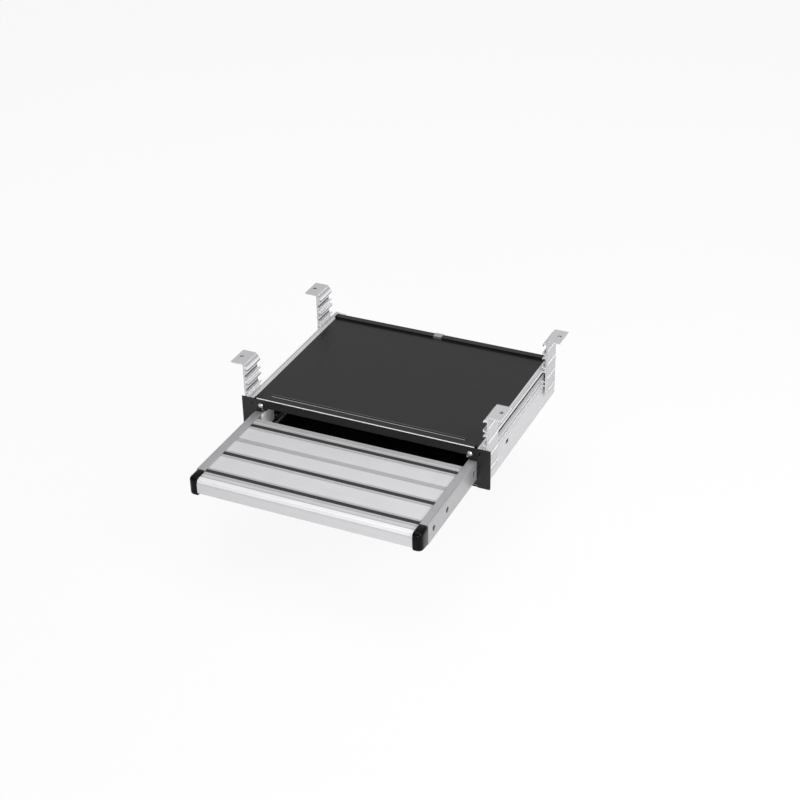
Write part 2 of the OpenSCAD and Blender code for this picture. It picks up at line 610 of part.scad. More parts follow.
// Corner cap: rounded shell over the end of the nose, with a plug inside the arm
cap_top = arm_top + 0.5;
cap_bot = arm_bot - 0.5;
cap_front = nose_front - cap_proud;
cap_out = arm_out + cap_side;
cap_low = cap_bot + cap_rise;
nose_bend = 12;                      // upper front edge of a cap
foot_bend = 8;                       // lower front edge of a cap
corner_bend = 9;                     // upright outer corner of a cap
rim_bend = 5;                        // long outer edges of a cap
module cap_from_side() {
    bar2([cap_front, cap_low + foot_bend], [cap_back, cap_top - nose_bend]);
    bar2([cap_front + nose_bend, arm_mid], [cap_back, cap_top]);
    translate([cap_front + nose_bend, cap_top - nose_bend]) circle(nose_bend);
    translate([cap_front + foot_bend, cap_low + foot_bend]) circle(foot_bend);
    polygon([[cap_front + foot_bend, cap_low], [cap_back, cap_bot], [cap_back, arm_mid],
             [cap_front + foot_bend, arm_mid]]);
}
module cap_from_above() {
    bar2([cap_in, cap_front + 3], [cap_out - corner_bend, cap_back]);
    bar2([cap_in + 3, cap_front], [cap_out - corner_bend, cap_back]);
    bar2([cap_out - corner_bend - 1, cap_front + corner_bend], [cap_out, cap_back]);
    translate([cap_out - corner_bend, cap_front + corner_bend]) circle(corner_bend);
    translate([cap_in + 3, cap_front + 3]) circle(3);
}
module cap_from_front() {
    bar2([cap_in, cap_bot], [cap_out - rim_bend, cap_top]);
    bar2([cap_out - rim_bend - 1, cap_bot + rim_bend], [cap_out, cap_top - rim_bend]);
    for (z = [cap_bot + rim_bend, cap_top - rim_bend]) translate([cap_out - rim_bend, z]) circle(rim_bend);
}
module cap() color([0.03, 0.03, 0.03]) in_case() {
    intersection() {
        run_across(cap_in, cap_out) cap_from_side();
        translate([0, 0, cap_bot]) linear_extrude(cap_top - cap_bot) cap_from_above();
        run_back(cap_front, cap_back) cap_from_front();
    }
    block([arm_in + 0.4, cap_back - 2, arm_bot + 0.4], [arm_out - 0.4, arm_front, arm_top - 0.4]);
    block([arm_in + arm_wall + fit_gap, arm_front - 1, arm_bot + arm_wall + fit_gap],
          [arm_out - arm_wall - fit_gap, arm_front + 16, arm_top - arm_wall - fit_gap]);
}
module left_cap() mirror([1, 0, 0]) cap();
module right_cap() cap();

// Carriage: block that plugs into the rear of the arm, holds a roller and stops the step
join_y = 30;
lug_y1 = arm_rear + 12;
slot_x = [arm_in + 3.5, arm_in + 16.5];
module carriage() color([0.06, 0.06, 0.06]) in_case() difference() {
    union() {
        block([arm_in + arm_wall + fit_gap, arm_rear - 40, arm_bot + arm_wall + fit_gap],
              [arm_out - arm_wall - fit_gap, arm_rear + 1, arm_top - arm_wall - fit_gap]);
        run_back(arm_rear, carriage_rear) soft_bar([arm_in, arm_bot], [arm_out, arm_top], 1);
        block([pocket_x[0] - 1, arm_rear, (arm_bot + floor_z) / 2 - 0.75], [pocket_x[1] + 1, lug_y1, arm_bot + 1]);
    }
    block([slot_x[0], roller_y - rear_r - 1, rear_roller_z - rear_r - 1],
          [slot_x[1], roller_y + rear_r + 1, arm_top + 1]);
    pin_x(arm_in - 1, arm_out + 1, roller_y, rear_roller_z, 3 + pin_gap);
    pin_x(arm_in - 1, arm_out + 1, tie_y, tie_z, shank_r + 0.15);
    pin_x(arm_out - 4, arm_out + 1, tie_y, tie_z, head_r + 0.3);
    pin_x(arm_in - 1, arm_in + 12, carriage_screw_y, carriage_screw_z, shank_r);
    pin_x(arm_out - 14, arm_out + 1, join_y, screw_z, shank_r);
}
module left_carriage() mirror([1, 0, 0]) carriage();
module right_carriage() carriage();

// Screws that hold each carriage and its bump plate
carriage_screw_y = 60;
carriage_screw_z = arm_bot + 7;
module button_head(x, y, z) translate([x, y, z]) rotate([0, -90, 0]) rotate_extrude() intersection() {
    translate([0, -5.4]) circle(8.2);
    bar2([0, 0], [5, 2.8]);
}
module carriage_screws() color([0.8, 0.8, 0.82]) in_case() both_sides() {
    difference() {
        union() {
            pin_x(arm_in, arm_in + 11, carriage_screw_y, carriage_screw_z, shank_r);
            button_head(arm_in, carriage_screw_y, carriage_screw_z);
        }
        translate([arm_in - 1.2, carriage_screw_y, carriage_screw_z]) rotate([0, -90, 0])
            cylinder(r = 1.8, h = 4, $fn = 6);
    }
    difference() {
        pin_x(arm_out - 13, arm_out - 0.2, join_y, screw_z, shank_r);
        translate([arm_out - 2, join_y, screw_z]) rotate([0, 90, 0]) cylinder(r = 1.8, h = 4, $fn = 6);
    }
}
module rear_roller() color([0.85, 0.85, 0.82])
    roller(rear_r, 3 + pin_gap, slot_x[0] + 0.5, slot_x[1] - 0.5, roller_y, rear_roller_z);
module left_rear_roller() mirror([1, 0, 0]) rear_roller();
module right_rear_roller() rear_roller();
module rear_roller_pins() color([0.7, 0.7, 0.72]) in_case() both_sides()
    pin_x(arm_in + 0.4, arm_out - 0.4, roller_y, rear_roller_z, 3);

// Cross tie between the carriages, with bolts in from the outside
tie_half = 15;
module rear_tie() color([0.08, 0.08, 0.08]) in_case() {
    run_across(-arm_in, arm_in) difference() {
        soft_bar([tie_y - tie_half, tie_z - 11], [tie_y + tie_half, tie_z + 11], 2);
        bar2([tie_y - tie_half - 1, tie_z - 8.5], [tie_y + tie_half - 2.5, tie_z + 8.5]);
    }
    for (s = [-1, 1]) difference() {
        block([min(s * arm_in, s * (arm_in - 14)), tie_y - 7, tie_z - 9],
              [max(s * arm_in, s * (arm_in - 14)), tie_y + tie_half - 1, tie_z + 9]);
        pin_x(min(s * (arm_in + 1), s * (arm_in - 15)), max(s * (arm_in + 1), s * (arm_in - 15)),
              tie_y, tie_z, shank_r);
    }
}
module tie_bolts() color([0.7, 0.7, 0.72]) in_case() both_sides() difference() {
    union() {
        pin_x(arm_in - 12, arm_out - 3, tie_y, tie_z, shank_r);
        pin_x(arm_out - 4, arm_out - 0.6, tie_y, tie_z, head_r);
    }
    translate([arm_out - 3, tie_y, tie_z]) rotate([0, 90, 0]) cylinder(r = 2.4, h = 4, $fn = 6);
}

// Striker on the tie, gripped by the catch when the step is in
striker_end = wall_y - travel - 3.5;
module striker() color([0.7, 0.7, 0.72]) in_case() {
    pin_y(tie_y + tie_half, striker_end - 6, 0, catch_z, 3);
    pin_y(tie_y + tie_half, tie_y + tie_half + 2, 0, catch_z, 5.5);
    translate([0, striker_end - 6, catch_z]) rotate([-90, 0, 0]) cylinder(r1 = 4.5, r2 = 2, h = 6);
}

left_rail();
right_rail();
front_frame();
top_cover();
bottom_pan();
rear_crossbar();
rear_clip();
corner_plugs();
crossbar_rivets();
pan_rivets();
left_front_bracket();
left_rear_bracket();
right_front_bracket();
right_rear_bracket();
bracket_screws();
frame_screws();
left_guide_block();
right_guide_block();
upper_glides();
stop_screw();
rear_buffers();
latch_catch();
left_front_roller();
right_front_roller();
front_roller_pins();
left_arm();
right_arm();
nose_profile();
front_plank();
rear_plank();
front_insert();
middle_insert();
rear_insert();
left_cap();
right_cap();
arm_screws();
left_carriage();
right_carriage();
rear_tie();
tie_bolts();
carriage_screws();
striker();
left_rear_roller();
right_rear_roller();
rear_roller_pins();
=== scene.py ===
"""Looks of the pull-out caravan step: finishes, fine pieces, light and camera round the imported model."""

import math

import bmesh
import bpy
from mathutils import Matrix, Vector


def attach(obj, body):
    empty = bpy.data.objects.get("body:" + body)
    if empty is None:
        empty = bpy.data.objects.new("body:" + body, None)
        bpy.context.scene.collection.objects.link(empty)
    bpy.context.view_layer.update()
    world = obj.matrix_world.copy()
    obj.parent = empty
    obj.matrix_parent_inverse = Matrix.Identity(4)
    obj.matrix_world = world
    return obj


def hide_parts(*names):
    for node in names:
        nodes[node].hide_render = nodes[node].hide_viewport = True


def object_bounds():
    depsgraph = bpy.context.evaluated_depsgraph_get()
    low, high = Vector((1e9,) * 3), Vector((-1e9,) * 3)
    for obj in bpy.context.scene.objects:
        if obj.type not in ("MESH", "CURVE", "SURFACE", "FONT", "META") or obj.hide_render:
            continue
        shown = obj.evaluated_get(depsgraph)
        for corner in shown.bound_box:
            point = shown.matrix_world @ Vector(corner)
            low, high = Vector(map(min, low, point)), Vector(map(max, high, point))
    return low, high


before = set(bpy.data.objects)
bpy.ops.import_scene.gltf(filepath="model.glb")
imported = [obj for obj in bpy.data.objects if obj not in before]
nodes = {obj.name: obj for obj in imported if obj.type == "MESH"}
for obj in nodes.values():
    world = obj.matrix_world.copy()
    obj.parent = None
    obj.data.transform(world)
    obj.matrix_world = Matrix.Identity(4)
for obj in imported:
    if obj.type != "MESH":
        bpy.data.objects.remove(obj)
cad_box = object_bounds()
scene = bpy.context.scene
MM = 0.001


# Places on the step

def node_box(name):
    """The lowest and highest corner of a node, in metres."""
    node = nodes[name]
    corners = [node.matrix_world @ Vector(corner) for corner in node.bound_box]
    low = Vector(min(corner[axis] for corner in corners) for axis in range(3))
    high = Vector(max(corner[axis] for corner in corners) for axis in range(3))
    return low, high


rail_low, rail_high = node_box("left_rail")
TOP = cad_box[1][2]                           # tops of the flanges, which meet the vehicle's floor
RIDGE_TOP = 0.3 * MM                          # top of the rails, above the cover
CASE_Y = rail_low.y                           # front ends of the rails
CASE_Z = rail_high.z - RIDGE_TOP              # top of the cover
TREAD_TOP = node_box("front_plank")[1].z
NOSE_FRONT = node_box("nose_profile")[0].y
BOLT_X, BOLT_Y = 319.0 * MM, 184.0 * MM       # axis of the floor bolts, from the middle
HOOK_PITCH = 36.8 * MM
LOCK_HOOK = -33.7 * MM                        # middle of the lowest hook, above the cover
FLOOR_Z = cad_box[0][2] - 0.16


# Shader graphs

class Signal:
    """A value in a shader graph. Arithmetic on it adds Math nodes."""

    def __init__(self, graph, socket):
        self.graph = graph
        self.socket = socket

    def math(self, operation, *values):
        made = self.graph.node("Math", {"operation": operation}, dict(enumerate(values)))
        return Signal(self.graph, made.outputs[0])

    def __add__(self, other):
        return self.math("ADD", self, other)

    def __mul__(self, other):
        return self.math("MULTIPLY", self, other)

    def __sub__(self, other):
        return self.math("SUBTRACT", self, other)

    def __rsub__(self, other):
        return self.math("SUBTRACT", other, self)

    def __truediv__(self, other):
        return self.math("DIVIDE", self, other)

    def __pow__(self, other):
        return self.math("POWER", self, other)

    __radd__ = __add__
    __rmul__ = __mul__

    def absolute(self):
        return self.math("ABSOLUTE", self)

    def modulo(self, period):
        return self.math("FLOORED_MODULO", self, period)

    def clamp(self):
        return self.math("MINIMUM", self.math("MAXIMUM", self, 0.0), 1.0)

    def smooth_step(self, low, high):
        made = self.graph.node("MapRange", {"interpolation_type": "SMOOTHSTEP"},
                               {"Value": self, "From Min": low, "From Max": high})
        return Signal(self.graph, made.outputs[0])


class Graph:
    """The node tree of a material or of the world."""

    def __init__(self, tree):
        self.tree = tree
        tree.nodes.clear()

    def node(self, kind, settings, inputs):
        """Adds a node with its settings and with the values or links of its sockets."""
        made = self.tree.nodes.new("ShaderNode" + kind)
        for key, value in settings.items():
            setattr(made, key, value)
        for key, value in inputs.items():
            if isinstance(value, Signal):
                value = value.socket
            if isinstance(value, bpy.types.NodeSocket):
                self.tree.links.new(value, made.inputs[key])
            else:
                made.inputs[key].default_value = value
        return made

    def signal(self, kind, settings, inputs, output=0):
        return Signal(self, self.node(kind, settings, inputs).outputs[output])

    def rays(self, *kinds):
        """Light Path signals, 1 for the rays of each kind."""
        outputs = self.node("LightPath", {}, {}).outputs
        return [Signal(self, outputs["Is %s Ray" % kind]) for kind in kinds]


class Finish(Graph):
    """A procedural material with one Principled shader, patterned on Object coordinates."""

    def __init__(self, name, **constants):
        self.material = bpy.data.materials.new(name)
        self.material.use_nodes = True
        super().__init__(self.material.node_tree)
        self.shader = self.node("BsdfPrincipled", {}, constants)
        self.output = self.node("OutputMaterial", {"is_active_output": True},
                                {"Surface": self.shader.outputs[0]})
        self.place = self.node("TexCoord", {}, {}).outputs["Object"]

    def noise(self, scale, detail, roughness, stretch=(1.0, 1.0, 1.0)):
        """Noise in features per metre, drawn out along an axis by a small stretch."""
        mapped = self.node("Mapping", {}, {"Vector": self.place, "Scale": stretch})
        return self.signal("TexNoise", {}, {"Vector": mapped.outputs[0], "Scale": scale,
                                            "Detail": detail, "Roughness": roughness})

    def mix(self, amount, low, high):
        """Blend of two colours."""
        made = self.node("Mix", {"data_type": "RGBA"}, {0: amount, 6: low, 7: high})
        return made.outputs[2]

    def along(self, axis):
        """The object coordinate X, Y or Z, in metres."""
        return self.signal("SeparateXYZ", {}, {"Vector": self.place}, axis)

    def reach(self):
        """Distance from the middle of the step, to either side."""
        return self.along("X").absolute()

    def behind_rail_front(self):
        return self.along("Y") - CASE_Y

    def over_cover(self):
        return self.along("Z") - CASE_Z

    def soft_edges(self, radius):
        """The normal of the piece with its edges rounded to a radius."""
        return self.node("Bevel", {"samples": 4}, {"Radius": radius}).outputs[0]

    def edge(self, radius):
        """How far the rounded edge turns from the flat face: 0 on a face, 1 on a sharp edge."""
        face = self.node("NewGeometry", {}, {})
        dot = self.signal("VectorMath", {"operation": "DOT_PRODUCT"},
                          {0: self.soft_edges(radius), 1: face.outputs["True Normal"]}, "Value")
        return (1 - dot).smooth_step(0.01, 0.22)

    def bump(self, height, distance, strength, under):
        """A normal bumped by a height in the range 0 to 1, over the normal under it."""
        return self.node("Bump", {}, {"Height": height, "Distance": distance, "Strength": strength,
                                      "Normal": under}).outputs[0]

    def set(self, **links):
        """Links values to the Principled shader and gives the material."""
        for key, value in links.items():
            if isinstance(value, Signal):
                value = value.socket
            self.tree.links.new(value, self.shader.inputs[key.replace("_", " ")])
        return self.material


COOL = (1.0, 0.985, 1.01)


def grey(level, tint=(1.0, 1.0, 1.0)):
    return (level * tint[0], level * tint[1], level * tint[2], 1.0)


def fade(value, limit):
    """A mask with a soft limit: 0 at the limit's first value and 1 at its second, both in millimetres."""
    start, end = limit
    return ((value - start * MM) / ((end - start) * MM)).clamp()


def band(value, rise, fall):
    """A mask between two soft limits."""
    return fade(value, rise) * fade(value, fall)


def distance(first, second):
    return (first * first + second * second) ** 0.5


def near_line(first, second, place, radius):
    """1 on a line through a section, 0 from a radius away. Its place and radius are in millimetres."""
    blur = 0.3 * MM
    away = distance(first - place[0] * MM, second - place[1] * MM)
    return ((radius * MM - away) / blur).clamp()


# Kinds of finish. The functions handed to a finish take the finish that is made and give a value over its
# surface: painted light and shade that lightens or darkens the tone, painted shade that mixes towards dark
# grey, and painted highlights on the black coat

LINES_ALONG = {"x": (0.012, 1.0, 1.0), "y": (1.0, 0.012, 1.0)}


def extruded_aluminium(name, along, level, metallic, roughness, lines, edge_highlight_and_wear_gain, light_and_shade_at=None, shade_at=None):
    """Anodised extrusion: fine drawing lines along it, faint blotches, edges painted lighter as rubbed wear
    and a painted highlight (a negative gain paints them darker as shade), and further painted light and shade
    where given.
    """
    made = Finish(name, Metallic=metallic)
    fine = made.noise(2600.0, 3.0, 0.6, LINES_ALONG[along])
    broad = made.noise(260.0, 2.0, 0.5, LINES_ALONG[along])
    blotch = made.noise(22.0, 3.0, 0.5)
    streak = (fine - 0.5) * lines + (broad - 0.5) * lines + (blotch - 0.5) * 0.1
    # edges painted lighter as rubbed wear and a painted highlight; a negative gain paints them darker as
    # shade
    tone = streak + 0.5 + made.edge(0.5 * MM) * edge_highlight_and_wear_gain
    # painted light and shade where the material gives it
    if light_and_shade_at is not None:
        tone = tone + light_and_shade_at(made)
    colour = made.mix(tone.clamp(), grey(level * 0.72, COOL), grey(min(1.0, level * 1.28), COOL))
    # painted shade, mixed towards dark grey
    if shade_at is not None:
        colour = made.mix(shade_at(made).clamp(), colour, grey(0.1))
    normal = made.bump(fine, 0.015 * MM, 0.25, made.soft_edges(0.35 * MM))
    return made.set(Base_Color=colour, Roughness=(streak * 1.6 + roughness).clamp(), Normal=normal)


def powder_coat(name, level, roughness, edge_wear_and_highlight, highlight_at=None, highlight_level=None):
    """Satin black coat: orange peel, faint dust, edges a little paler as rubbed wear and a painted highlight,
    and a painted highlight where given.
    """
    made = Finish(name, **{"Specular IOR Level": 0.4})
    peel = made.noise(900.0, 2.0, 0.5)
    dust = made.noise(30.0, 4.0, 0.6)
    colour = made.mix(((dust - 0.5) * 0.5 + 0.4).clamp(), grey(level * 0.75), grey(level * 1.5))
    # edges a little paler: rubbed wear and a painted edge highlight
    colour = made.mix((made.edge(0.6 * MM) * edge_wear_and_highlight).clamp(), colour, grey(0.12))
    if highlight_at is not None:
        # painted highlight where given
        colour = made.mix(highlight_at(made).clamp(), colour, grey(highlight_level))
    normal = made.bump(peel, 0.03 * MM, 0.5, made.soft_edges(0.5 * MM))
    return made.set(Base_Color=colour, Roughness=(dust * 0.14 + roughness - 0.07).clamp(), Normal=normal)


def moulded_plastic(name, level, roughness, grain, gloss=0.5):
    """Plastic with fine pores, a faint cloud of tone and slightly paler edges."""
    made = Finish(name, **{"Specular IOR Level": gloss})
    pores = made.noise(1500.0, 2.0, 0.5)
    cloud = made.noise(45.0, 3.0, 0.5)
    tone = cloud * 0.6 + made.edge(0.5 * MM) * 0.1 + 0.1
    colour = made.mix(tone.clamp(), grey(level * 0.8), grey(level * 1.4))
    normal = made.bump(pores, grain * MM, 0.4, made.soft_edges(0.5 * MM))
    return made.set(Base_Color=colour, Roughness=(cloud * 0.1 + roughness - 0.05).clamp(), Normal=normal)


def ribbed_rubber(name, level):
    """Matt rubber with grain, and dust that lies in streaks along the strip."""
    made = Finish(name, Metallic=0.0)
    grain = made.noise(2200.0, 3.0, 0.6)
    dust = made.noise(60.0, 5.0, 0.65, (0.25, 1.0, 1.0))
    colour = made.mix((dust * 0.9).clamp(), grey(level * 0.7), grey(level * 1.5))
    normal = made.node("Bump", {}, {"Height": grain, "Distance": 0.05 * MM, "Strength": 0.6}).outputs[0]
    return made.set(Base_Color=colour, Roughness=(dust * 0.2 + 0.55).clamp(), Normal=normal)


def plated_steel(name, level, roughness):
    """Bright plating with fine scratches, a faint cloud of tone and paler edges."""
    made = Finish(name, Metallic=0.9)
    scratch = made.noise(1800.0, 3.0, 0.6, (1.0, 0.2, 1.0))
    cloud = made.noise(120.0, 3.0, 0.5)
    tone = cloud * 0.7 + made.edge(0.3 * MM) * 0.3
    colour = made.mix(tone.clamp(), grey(level * 0.85), grey(min(1.0, level * 1.15)))
    normal = made.bump(scratch, 0.02 * MM, 0.3, made.soft_edges(0.25 * MM))
    return made.set(Base_Color=colour, Roughness=(scratch * 0.12 + roughness - 0.06).clamp(), Normal=normal)


# Rails: soft limits in millimetres, out from the middle of the step and up from the cover

RAIL_OUTSIDE = (289.2, 289.8)
RAIL_BAND_TOP, RAIL_BAND_FOOT = (-3.6, -4.4), (-24.3, -23.7)
RAIL_LIP_TOP, RAIL_LIP_FOOT = (-21.6, -22.4), (-24.6, -24.2)
RAIL_GROOVES, RAIL_GROOVES_TOP = (292.7, 292.3), (-23.0, -24.0)
RAIL_TOP_PLATE = (-2.4, -1.8)
RAIL_RIDGE = (288.6, 289.0)
BAND_SHADE_STRETCH, BAND_DARKENING_STRETCH = (-26.0, -4.0), (-24.0, -6.0)
OUTER_TOP_LINE, INNER_TOP_LINE = (286.1, 0.5), (281.0, -0.5)
PILOT_HOLE = (281.5, -13.0)
PILOT_EDGE, PILOT_DEPTH = (4.5, 4.2), (1.0, 0.5)


def rail_painted_light(made):
    """Painted light and shade: highlights on the ridge, the lip and the top plate, lightened grooves, and
    painted shade down the outer band, darkest towards its top under the lip.
    """
    height, reach = made.over_cover(), made.reach()
    band_shade = band(height, RAIL_BAND_TOP, RAIL_BAND_FOOT) * (fade(height, BAND_SHADE_STRETCH) * 0.48 + 0.08)
    lip = band(height, RAIL_LIP_TOP, RAIL_LIP_FOOT)
    grooves = fade(reach, RAIL_GROOVES) * fade(height, RAIL_GROOVES_TOP)
    top = fade(height, RAIL_TOP_PLATE)
    ridge = top * fade(reach, RAIL_RIDGE)
    return fade(reach, RAIL_OUTSIDE) * (lip * 0.9 - band_shade) + grooves * 0.7 + top * 0.36 + ridge * 0.5 - 0.3


def rail_painted_shade(made):
    """Painted shade in the two fine grooves on top, down the outer band and behind the front frame's pilot
    hole.
    """
    height, reach = made.over_cover(), made.reach()
    outer = near_line(reach, height, OUTER_TOP_LINE, 1.3)
    inner = near_line(reach, height, INNER_TOP_LINE, 1.0)
    outside = fade(reach, RAIL_OUTSIDE) * fade(height, RAIL_BAND_TOP) * fade(height, BAND_DARKENING_STRETCH)
    from_pilot = distance(reach - PILOT_HOLE[0] * MM, height - PILOT_HOLE[1] * MM)
    pilot = fade(from_pilot, PILOT_EDGE) * fade(made.behind_rail_front(), PILOT_DEPTH)
    return outer * 0.55 + inner * 0.35 + outside * 0.4 + pilot


# Brackets: soft limits in millimetres, out from the middle, up from the flange or up from the nearest hook

UNDER_FLANGE, FLANGE_TOP = (-2.0, -3.0), (-0.6, -0.3)
WEB_INSIDE = (297.4, 297.1)
WEB_OUTSIDE, WEB_OUTSIDE_END = (300.6, 300.9), (301.4, 301.2)
WEB_RIBS = (301.3, 301.5)
SLOT_BACK = (294.0, 294.4)
SLOT_FOOT, SLOT_TOP = (7.4, 8.0), (13.4, 12.8)
PRONGS, PRONG_FOOT = (294.0, 293.6), (-7.4, -8.0)
HOOK_FACE, HOOK_LINE_FOOT, HOOK_LINE_TOP = (296.8, 296.4), (0.2, 0.8), (4.8, 4.2)
BOLT_EDGE = (4.9, 4.6)
SLOPE_EDGE = 298.2 * MM                       # where the slope above the top hook meets the flange
SLOPE_NORMAL = (0.764, 0.646)                 # towards the middle of the step, and up
SLOPE_SKIN = (-0.4, -0.2)
SLOPE_LINE_START, SLOPE_LINE_END = (293.2, 292.6), (290.2, 290.7)
SLOPE_FOOT = (72.5, 73.5)                     # up from the cover


def bracket_painted_light(made):
    """Painted light and shade: the hooks, the inner face of the web and the ribs lighter, the outer face and
    the flange's top darker.
    """
    reach, height = made.reach(), made.along("Z") - TOP
    face = band(reach, WEB_OUTSIDE, WEB_OUTSIDE_END)
    web = fade(reach, WEB_INSIDE) * 0.5 + fade(reach, WEB_RIBS) * 0.5 - face * 0.45
    return fade(height, UNDER_FLANGE) * web - fade(height, FLANGE_TOP) * 0.35 + 0.05


def bracket_painted_shade(made):
    """Painted shade in the slots behind the hooks, under their lips, on a line across each hook's face, on a
    line along the slope under the flange and in the bolt hole.
    """
    reach, height = made.reach(), made.along("Z") - TOP
    lifted = made.over_cover() - (LOCK_HOOK - HOOK_PITCH / 2)
    from_hook = lifted.modulo(HOOK_PITCH) - HOOK_PITCH / 2
    slot = band(reach, SLOT_BACK, WEB_INSIDE) * band(from_hook, SLOT_FOOT, SLOT_TOP)
    under = fade(reach, PRONGS) * fade(from_hook, PRONG_FOOT)
    face = fade(reach, HOOK_FACE) * band(from_hook, HOOK_LINE_FOOT, HOOK_LINE_TOP)
    off_slope = height * SLOPE_NORMAL[1] - (reach - SLOPE_EDGE) * SLOPE_NORMAL[0]
    slope = fade(off_slope, SLOPE_SKIN) * fade(made.over_cover(), SLOPE_FOOT)
    slope = slope * band(reach, SLOPE_LINE_START, SLOPE_LINE_END)
    bolt = fade(distance(reach - BOLT_X, made.along("Y").absolute() - BOLT_Y), BOLT_EDGE)
    shaded = slot * 0.9 + under * 0.95 + face * 0.5 + slope * 0.35
    return fade(height, UNDER_FLANGE) * shaded + bolt * 0.7


# Tread, nose, cover and front frame: soft limits and lines in millimetres

RIB_FLOOR, RIB_END = (-0.3, -0.8), (-6.3, -5.3)
ROUNDING, ROUNDING_FRONT = (16.0, 15.0), (0.9, 1.5)
# soft limits ahead of the nose's front, and how much painted shade lies in each groove
NOSE_LINES = [((16.0, 17.0), (19.0, 18.0), 0.5),
              ((8.0, 9.0), (11.4, 10.4), 0.25),
              ((3.2, 3.8), (5.6, 5.0), 0.25)]
FRONT_BEAD, REAR_BEAD = (18.0, 1.4), (26.0, 1.4)
FRAME_EDGE = (-1.77, 1.27)


def tread_recess_shade(made):
    """Painted shade on the floors of the ribbed bands and in the strips' slots."""
    return band(made.along("Z") - TREAD_TOP, RIB_FLOOR, RIB_END) * -0.5


def nose_painted_light(made):
    """A painted highlight over the rounding, with painted shade in the grooves over it and in one groove on
    top.
    """
    ahead = made.along("Y") - NOSE_FRONT
    tone = band(ahead, ROUNDING, ROUNDING_FRONT) * 0.75 - 0.14
    for rise, fall, depth in NOSE_LINES:
        tone = tone - band(ahead, rise, fall) * depth
    return tone


def bead_highlights(made):
    """Painted highlights on the crests of the cover's two pressed beads, the front one brighter."""
    back, height = made.behind_rail_front(), made.over_cover()
    return near_line(back, height, FRONT_BEAD, 1.3) + near_line(back, height, REAR_BEAD, 1.3) * 0.2


def frame_edge_highlight(made):
    """A painted highlight along the front edge of the frame's turned-back top."""
    return near_line(made.behind_rail_front(), made.over_cover(), FRAME_EDGE, 1.1)


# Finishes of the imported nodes

rail_metal = extruded_aluminium("rail_aluminium", "y", level=0.78, metallic=0.4, roughness=0.36,
                                lines=0.03, edge_highlight_and_wear_gain=0.12, light_and_shade_at=rail_painted_light, shade_at=rail_painted_shade)
bracket_metal = extruded_aluminium("bracket_aluminium", "y", level=0.72, metallic=0.25, roughness=0.4,
                                   lines=0.08, edge_highlight_and_wear_gain=0.3, light_and_shade_at=bracket_painted_light, shade_at=bracket_painted_shade)
arm_metal = extruded_aluminium("arm_aluminium", "y", level=0.47, metallic=0.55, roughness=0.4,
                               lines=0.06, edge_highlight_and_wear_gain=0.4)
tread_metal = extruded_aluminium("tread_aluminium", "x", level=0.74, metallic=0.3, roughness=0.46,
                                 lines=0.08, edge_highlight_and_wear_gain=0.2, light_and_shade_at=tread_recess_shade)
nose_metal = extruded_aluminium("nose_aluminium", "x", level=0.76, metallic=0.25, roughness=0.42,
                                lines=0.1, edge_highlight_and_wear_gain=-0.2, light_and_shade_at=nose_painted_light)
coated_steel = powder_coat("black_coat", level=0.01, roughness=0.3, edge_wear_and_highlight=0.5)
cover_coat = powder_coat("cover_coat", level=0.01, roughness=0.3, edge_wear_and_highlight=0.5,
                         highlight_at=bead_highlights, highlight_level=0.35)
frame_coat = powder_coat("frame_coat", level=0.01, roughness=0.3, edge_wear_and_highlight=0.5,
                         highlight_at=frame_edge_highlight, highlight_level=0.9)
dark_pan = powder_coat("pan_coat", level=0.008, roughness=0.5, edge_wear_and_highlight=0.25)
gloss_cap = moulded_plastic("gloss_black", level=0.001, roughness=0.1, grain=0.002, gloss=0.12)
guide_black = moulded_plastic("guide_black", level=0.01, roughness=0.5, grain=0.03)
nylon = moulded_plastic("pale_nylon", level=0.62, roughness=0.42, grain=0.02)
pale_plate = moulded_plastic("pale_plate", level=0.8, roughness=0.4, grain=0.02)
strip_rubber = ribbed_rubber("strip_rubber", level=0.03)
zinc = plated_steel("bright_zinc", level=0.75, roughness=0.28)
spring = plated_steel("spring_steel", level=0.6, roughness=0.34)

FINISHES = {
    rail_metal: ["left_rail", "right_rail"],
    bracket_metal: ["left_front_bracket", "left_rear_bracket", "right_front_bracket", "right_rear_bracket"],
    arm_metal: ["left_arm", "right_arm"],
    tread_metal: ["front_plank", "rear_plank"],
    nose_metal: ["nose_profile"],
    frame_coat: ["front_frame"],
    cover_coat: ["top_cover"],
    coated_steel: ["rear_crossbar", "rear_tie", "crossbar_rivets"],
    dark_pan: ["bottom_pan", "pan_rivets"],
    gloss_cap: ["left_cap", "right_cap", "corner_plugs"],
    guide_black: ["left_guide_block", "right_guide_block", "left_carriage", "right_carriage",
                  "rear_buffers", "upper_glides"],
    nylon: ["left_front_roller", "right_front_roller", "left_rear_roller", "right_rear_roller"],
    strip_rubber: ["front_insert", "middle_insert", "rear_insert"],
    zinc: ["bracket_screws", "frame_screws", "stop_screw", "arm_screws", "carriage_screws", "tie_bolts",
           "front_roller_pins", "rear_roller_pins"],
    spring: ["rear_clip", "latch_catch", "striker"],
}


def dress(node, finish):
    """Gives a node's every material slot the finish, or its first slot when it has none."""
    slots = node.data.materials
    if not slots:
        slots.append(finish)
    for i in range(len(slots)):
        slots[i] = finish


for finish, members in FINISHES.items():
    for member in members:
        dress(nodes[member], finish)


# Pieces with finer shapes than their solids, and pale plates standing in for light on the arms

NEAR = 0.05 * MM                              # how near to a face an edge counts as lying on it
CAP_LENGTH = 34.8 * MM
CAP_RISE = 5.0 * MM                           # front of the cap's underside, above its rear
PLATE_X = (254.2 * MM, 255.05 * MM)           # the right pale plate, standing in for light on the arm's inner face, just inside the arm
PLATE_Y = (CASE_Y - 10.0 * MM, CASE_Y + 48.0 * MM)
PLATE_Z = (CASE_Z - 79.0 * MM, CASE_Z - 36.0 * MM)


